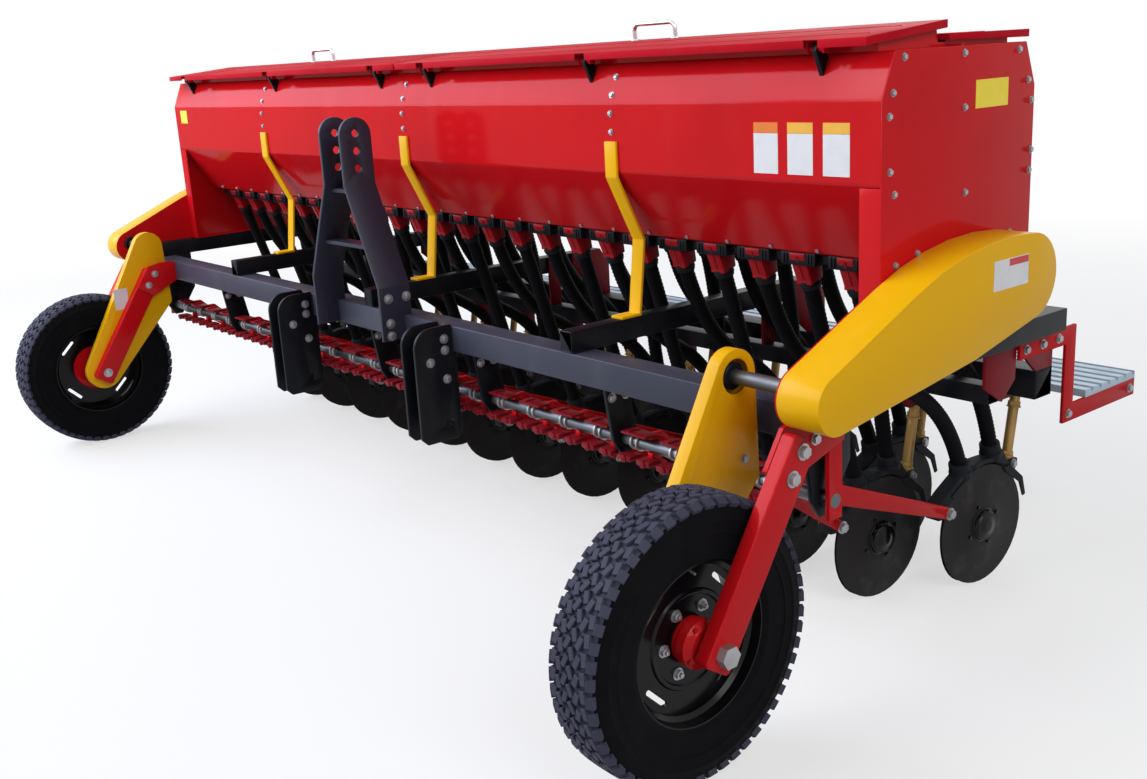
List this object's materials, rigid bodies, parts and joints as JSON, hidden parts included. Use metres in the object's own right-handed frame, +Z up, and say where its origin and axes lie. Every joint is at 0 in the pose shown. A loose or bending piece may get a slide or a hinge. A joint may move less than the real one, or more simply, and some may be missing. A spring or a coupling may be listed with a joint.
{
  "type": "seed drill",
  "caption": "Mounted seed and fertiliser drill: two-compartment hopper over a row of double-disc openers, with front drive wheels, chain guards, three-point hitch and rear step.",
  "frame": {"origin": "on the ground under the middle of the machine's box", "axes": "+X across the machine towards its left-hand end as the tractor drives, -Y towards the tractor, +Y to the rear, +Z up"},
  "size_m": [4.092, 2.16, 1.6079],
  "materials": {
    "bracket_dark_red": "dark red paint",
    "cast_black": "black painted casting",
    "disc_steel": "black-grey painted disc steel",
    "frame_grey": "dark blue-grey paint",
    "frame_red": "gloss red paint",
    "guard_yellow": "gloss yellow-orange paint",
    "handle_chrome": "bright bent bar",
    "hinge_black": "black paint",
    "hopper_red": "gloss signal red paint",
    "hose_black": "black corrugated hose",
    "lid_red": "gloss signal red paint",
    "meter_red": "red moulded housing",
    "rim_black": "satin black paint",
    "rod_zinc": "yellow-passivated zinc plate",
    "shaft_steel": "bright drawn steel",
    "tread_galvanised": "ribbed grey-blue tread",
    "tyre_rubber": "black rubber"
  },
  "bodies": {
    "root": {"axle_left": "shaft_steel", "axle_right": "shaft_steel", "chain_case_left": "guard_yellow", "chain_case_right": "guard_yellow", "cross_shaft_left": "shaft_steel", "cross_shaft_right": "shaft_steel", "discs_front": "disc_steel", "discs_rear": "disc_steel", "drag_arms_front": "frame_red", "drag_arms_rear": "frame_red", "drive_guard_left": "guard_yellow", "drive_guard_right": "guard_yellow", "front_beam": "frame_grey", "front_meters": "meter_red", "guard_back_left": "frame_red", "guard_back_right": "frame_red", "hangers": "frame_grey", "hinge_shaft": "shaft_steel", "hitch_tower": "frame_grey", "hopper_end_left": "hopper_red", "hopper_end_right": "hopper_red", "hopper_front": "hopper_red", "hopper_partition": "hopper_red", "hopper_rear": "hopper_red", "hoses_front_to_front": "hose_black", "hoses_front_to_rear": "hose_black", "hoses_rear_to_front": "hose_black", "hoses_rear_to_rear": "hose_black", "inner_rails": "frame_grey", "leg_plates_left": "frame_red", "leg_plates_right": "frame_red", "legs_left": "frame_red", "legs_right": "frame_red", "lid_hinges": "hinge_black", "lower_hitch": "frame_grey", "opener_bodies_front": "cast_black", "opener_bodies_rear": "cast_black", "rear_meters": "meter_red", "risers": "bracket_dark_red", "rod_brackets": "bracket_dark_red", "rods_front": "rod_zinc", "rods_rear": "rod_zinc", "side_rails": "frame_grey", "step_brackets": "frame_red", "step_tread": "tread_galvanised", "struts": "guard_yellow", "subbar": "frame_grey", "toolbar": "frame_grey"},
    "wheel_left": {"tyre_left": "tyre_rubber", "rim_left": "rim_black", "hub_left": "frame_red"},
    "lid_front_left": {"lid_front_left": "lid_red", "lid_handle_left": "handle_chrome"},
    "lid_rear_left": {"lid_rear_left": "lid_red"},
    "wheel_right": {"tyre_right": "tyre_rubber", "rim_right": "rim_black", "hub_right": "frame_red"},
    "lid_front_right": {"lid_front_right": "lid_red", "lid_handle_right": "handle_chrome"},
    "lid_rear_right": {"lid_rear_right": "lid_red"}
  },
  "joints": [
    {"name": "wheel_left_spin", "type": "hinge", "parent": "root", "child": "wheel_left", "pos_m": [-1.841, -0.758, 0.322], "axis": [1, 0, 0], "continuous": true},
    {"name": "wheel_right_spin", "type": "hinge", "parent": "root", "child": "wheel_right", "pos_m": [1.841, -0.758, 0.322], "axis": [1, 0, 0], "continuous": true},
    {"name": "lid_front_left_hinge", "type": "hinge", "parent": "root", "child": "lid_front_left", "pos_m": [-0.951, -0.2, 1.512], "axis": [1, 0, 0], "range_deg": [0, 100]},
    {"name": "lid_rear_left_hinge", "type": "hinge", "parent": "root", "child": "lid_rear_left", "pos_m": [-0.951, 0.375, 1.512], "axis": [-1, 0, 0], "range_deg": [0, 100]},
    {"name": "lid_front_right_hinge", "type": "hinge", "parent": "root", "child": "lid_front_right", "pos_m": [0.951, -0.2, 1.512], "axis": [1, 0, 0], "range_deg": [0, 100]},
    {"name": "lid_rear_right_hinge", "type": "hinge", "parent": "root", "child": "lid_rear_right", "pos_m": [0.951, 0.375, 1.512], "axis": [-1, 0, 0], "range_deg": [0, 100]}
  ]
}
